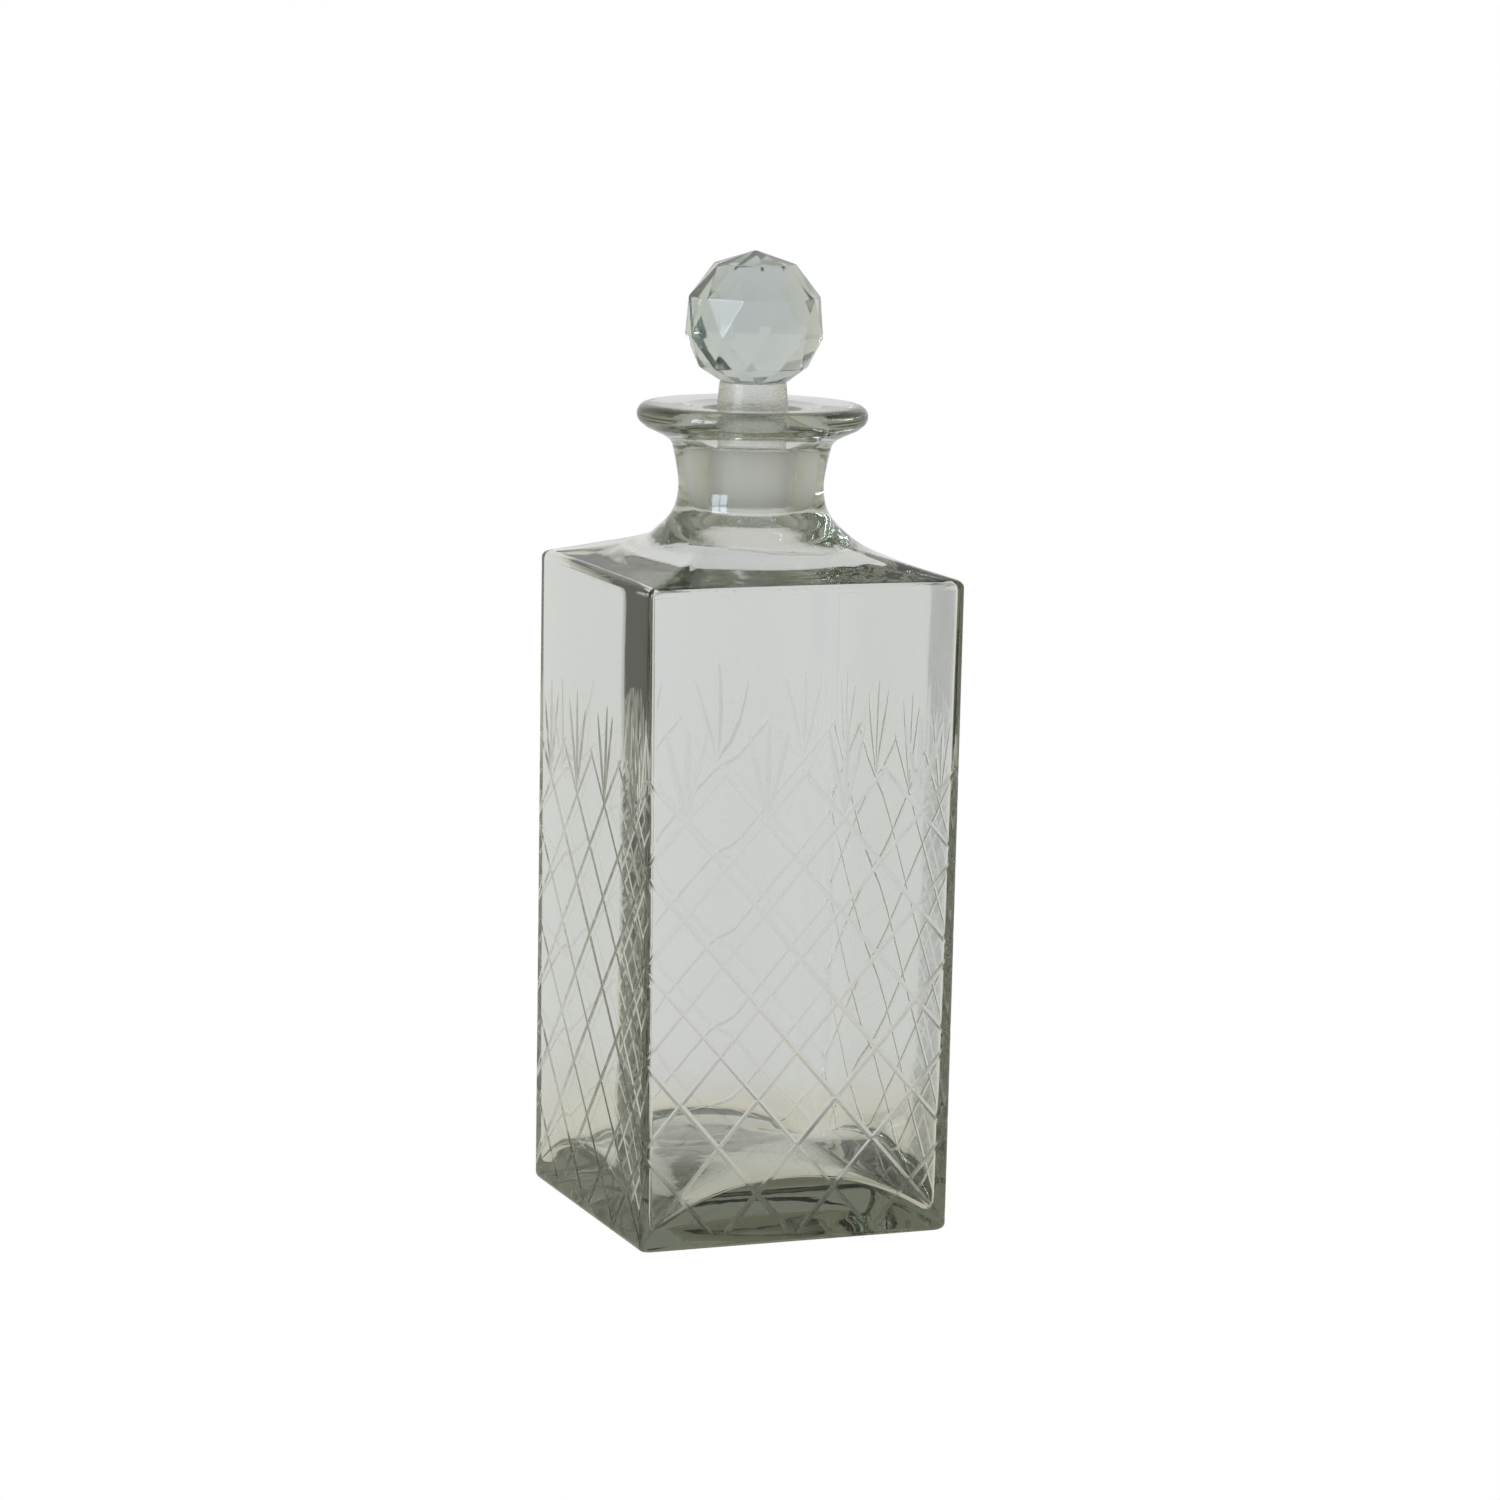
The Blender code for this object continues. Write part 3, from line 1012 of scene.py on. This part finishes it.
def build_floor(settings):
    """A pale sheet that glows instead of being lit: white to the camera. Seen through the glass its glow is
    warm within 12 cm of the foot's centre, with painted shade darkest at the middle, neutral beyond 16 cm,
    and dimmed by painted shade to both sides."""
    mesh = bpy.data.meshes.new("floor")
    reach = 6.0
    corners = [(-reach, -reach, 0), (reach, -reach, 0), (reach, reach, 0), (-reach, reach, 0)]
    mesh.from_pydata(corners, [], [(0, 1, 2, 3)])
    mesh.transform(Matrix.Translation((0, 0, -0.2 * MM)))
    floor = bpy.data.objects.new("floor", mesh)
    bpy.context.scene.collection.objects.link(floor)
    material = bpy.data.materials.new("glowing_floor_with_painted_shade")
    material.use_nodes = True
    tree = material.node_tree
    tree.nodes.clear()
    ray = add_node(tree, "ShaderNodeLightPath")
    place = add_node(tree, "ShaderNodeTexCoord").outputs["Object"]
    distance = add_node(tree, "ShaderNodeVectorMath", {"operation": "LENGTH"}, links={0: place})
    share = add_node(
        tree,
        "ShaderNodeMapRange",
        inputs={"From Min": 0.0, "From Max": 0.2},
        links={"Value": distance.outputs["Value"]},
    )
    # Painted shade: seen through the glass, the floor's glow is darkest at the foot's centre and pales
    # outwards. Its warm tone near the foot is the floor's own colour.
    warm_tone_and_painted_shade = add_node(tree, "ShaderNodeValToRGB", links={"Fac": share.outputs[0]})
    ramp = warm_tone_and_painted_shade.color_ramp
    warm_tone_and_painted_shade_stops = ((0.2, "C6C3B4"), (0.4, "D0CDC0"), (0.62, "D6D3C9"), (0.78, "D6D8D7"), (1.0, "D8DADB"))
    for stop, (position, colour) in enumerate(warm_tone_and_painted_shade_stops):
        element = ramp.elements[stop] if stop < 2 else ramp.elements.new(position)
        element.position = position
        element.color = linear(colour)
    direction = add_node(tree, "ShaderNodeVectorMath", {"operation": "NORMALIZE"}, links={0: place})
    away = side_share(tree, direction.outputs[0], 0.15, 0.9)
    far = add_node(
        tree,
        "ShaderNodeMapRange",
        inputs={"From Min": 0.05, "From Max": 0.15},
        links={"Value": distance.outputs["Value"]},
    )
    # Painted shade: beyond 15 cm to either side of the foot the floor's glow dims to the studio's side
    # colour.
    dim = add_node(tree, "ShaderNodeMath", {"operation": "MULTIPLY"}, links={0: away, 1: far.outputs[0]})
    colour = mixed(tree, dim.outputs[0], warm_tone_and_painted_shade.outputs["Color"], settings.sides)
    # The floor glows by emission: its light and its painted shade are set in this colour, and no lamp
    # lights it.
    painted_floor_glow = add_node(tree, "ShaderNodeEmission", links={"Color": colour})
    white = add_node(tree, "ShaderNodeEmission", inputs={"Color": (1, 1, 1, 1)})
    mix = add_node(
        tree,
        "ShaderNodeMixShader",
        links={0: ray.outputs["Is Camera Ray"], 1: painted_floor_glow.outputs[0], 2: white.outputs[0]},
    )
    add_node(tree, "ShaderNodeOutputMaterial", links={"Surface": mix.outputs[0]})
    mesh.materials.append(material)


def build_world(settings):
    """The studio: pale before and behind, darker to both sides, which draws the glass's edges, and
    dim overhead."""
    world = bpy.data.worlds.new("studio")
    bpy.context.scene.world = world
    world.use_nodes = True
    tree = world.node_tree
    tree.nodes.clear()
    direction = add_node(tree, "ShaderNodeTexCoord").outputs["Generated"]
    height = add_node(tree, "ShaderNodeSeparateXYZ", links={"Vector": direction}).outputs["Z"]
    overhead = add_node(
        tree,
        "ShaderNodeMapRange",
        {"interpolation_type": "SMOOTHSTEP"},
        {"From Min": 0.45, "From Max": 0.95},
        {"Value": height},
    )
    level = mixed(tree, side_share(tree, direction, 0.2, 0.9), settings.backdrop, settings.sides)
    colour = mixed(tree, overhead.outputs[0], level, settings.overhead)
    studio = add_node(tree, "ShaderNodeBackground", links={"Color": colour})
    white = add_node(tree, "ShaderNodeBackground", inputs={"Color": (1, 1, 1, 1)})
    ray = add_node(tree, "ShaderNodeLightPath")
    mix = add_node(
        tree,
        "ShaderNodeMixShader",
        links={0: ray.outputs["Is Camera Ray"], 1: studio.outputs[0], 2: white.outputs[0]},
    )
    add_node(tree, "ShaderNodeOutputWorld", links={"Surface": mix.outputs[0]})


def build_window(settings):
    """A window of four bluish panes, low and to the camera's left. It can't be seen directly."""
    turn = math.radians(CAMERA_AZIMUTH - WINDOW_TURN)
    back = Vector((math.sin(turn), -math.cos(turn), 0))
    across = Vector((math.cos(turn), math.sin(turn), 0))
    for column in (-0.5, 0.5):
        for row in (0, 1):
            light = bpy.data.lights.new("window", "AREA")
            light.shape = "RECTANGLE"
            light.size, light.size_y = PANE_SIZE
            light.energy = settings.window
            light.color = linear("DCEBFF")[:3]
            lamp = bpy.data.objects.new("window", light)
            height = LOWER_PANES + PANE_PITCH[1] * row
            place = back * WINDOW_DISTANCE + across * PANE_PITCH[0] * column
            lamp.location = place + Vector((0, 0, height))
            facing = Vector((0, 0, WINDOW_AIM)) - lamp.location
            lamp.rotation_euler = facing.to_track_quat("-Z", "Y").to_euler()
            lamp.visible_camera = False
            bpy.context.scene.collection.objects.link(lamp)


def build_camera():
    """A long lens a little above the shoulder, rolled by a degree."""
    azimuth, elevation = math.radians(CAMERA_AZIMUTH), math.radians(CAMERA_ELEVATION)
    back = Vector(
        (
            math.sin(azimuth) * math.cos(elevation),
            -math.cos(azimuth) * math.cos(elevation),
            math.sin(elevation),
        )
    )
    right = Vector((math.cos(azimuth), math.sin(azimuth), 0))
    up = back.cross(right)
    roll = math.radians(CAMERA_ROLL)
    across = right * math.cos(roll) + up * math.sin(roll)
    upright = up * math.cos(roll) - right * math.sin(roll)
    target = Vector((0, 0, TARGET_HEIGHT)) + right * TARGET_RIGHT + up * TARGET_UP
    camera = bpy.data.objects.new("camera", bpy.data.cameras.new("camera"))
    camera.data.lens = CAMERA_LENS
    camera.data.clip_end = 50
    camera.matrix_world = Matrix.Translation(target + back * CAMERA_DISTANCE) @ Matrix(
        (across, upright, back)
    ).transposed().to_4x4()
    bpy.context.scene.collection.objects.link(camera)
    bpy.context.scene.camera = camera


# ---------------------------------------------------------------- panel and main


class DECANTER_PT_panel(bpy.types.Panel):
    """Settings and steps of the decanter"""

    bl_idname = "DECANTER_PT_panel"
    bl_label = "Cut Glass Decanter"
    bl_space_type = "VIEW_3D"
    bl_region_type = "UI"
    bl_category = "Decanter"

    def draw(self, context):
        scene = context.scene
        for title, settings, steps in (
            ("Bottle", scene.decanter_bottle, ("decanter.bottle",)),
            ("Stopper", scene.decanter_stopper, ("decanter.plug", "decanter.knob")),
            ("Stage", scene.decanter_stage, ("decanter.stage",)),
        ):
            box = self.layout.box()
            box.label(text=title)
            for name in settings.__annotations__:
                box.prop(settings, name)
            for step in steps:
                box.operator(step)


SETTINGS = {
    "decanter_bottle": BottleSettings,
    "decanter_stopper": StopperSettings,
    "decanter_stage": StageSettings,
}
CLASSES = (
    BottleSettings,
    StopperSettings,
    StageSettings,
    DECANTER_OT_bottle,
    DECANTER_OT_plug,
    DECANTER_OT_knob,
    DECANTER_OT_stage,
    DECANTER_PT_panel,
)


def register():
    for cls in CLASSES:
        bpy.utils.register_class(cls)
    for name, cls in SETTINGS.items():
        setattr(bpy.types.Scene, name, PointerProperty(type=cls))


def unregister():
    for name in SETTINGS:
        delattr(bpy.types.Scene, name)
    for cls in reversed(CLASSES):
        bpy.utils.unregister_class(cls)


def main():
    register()
    bpy.ops.decanter.bottle()
    bpy.ops.decanter.plug()
    bpy.ops.decanter.knob()
    bpy.ops.decanter.stage()


if __name__ == "__main__":
    main()
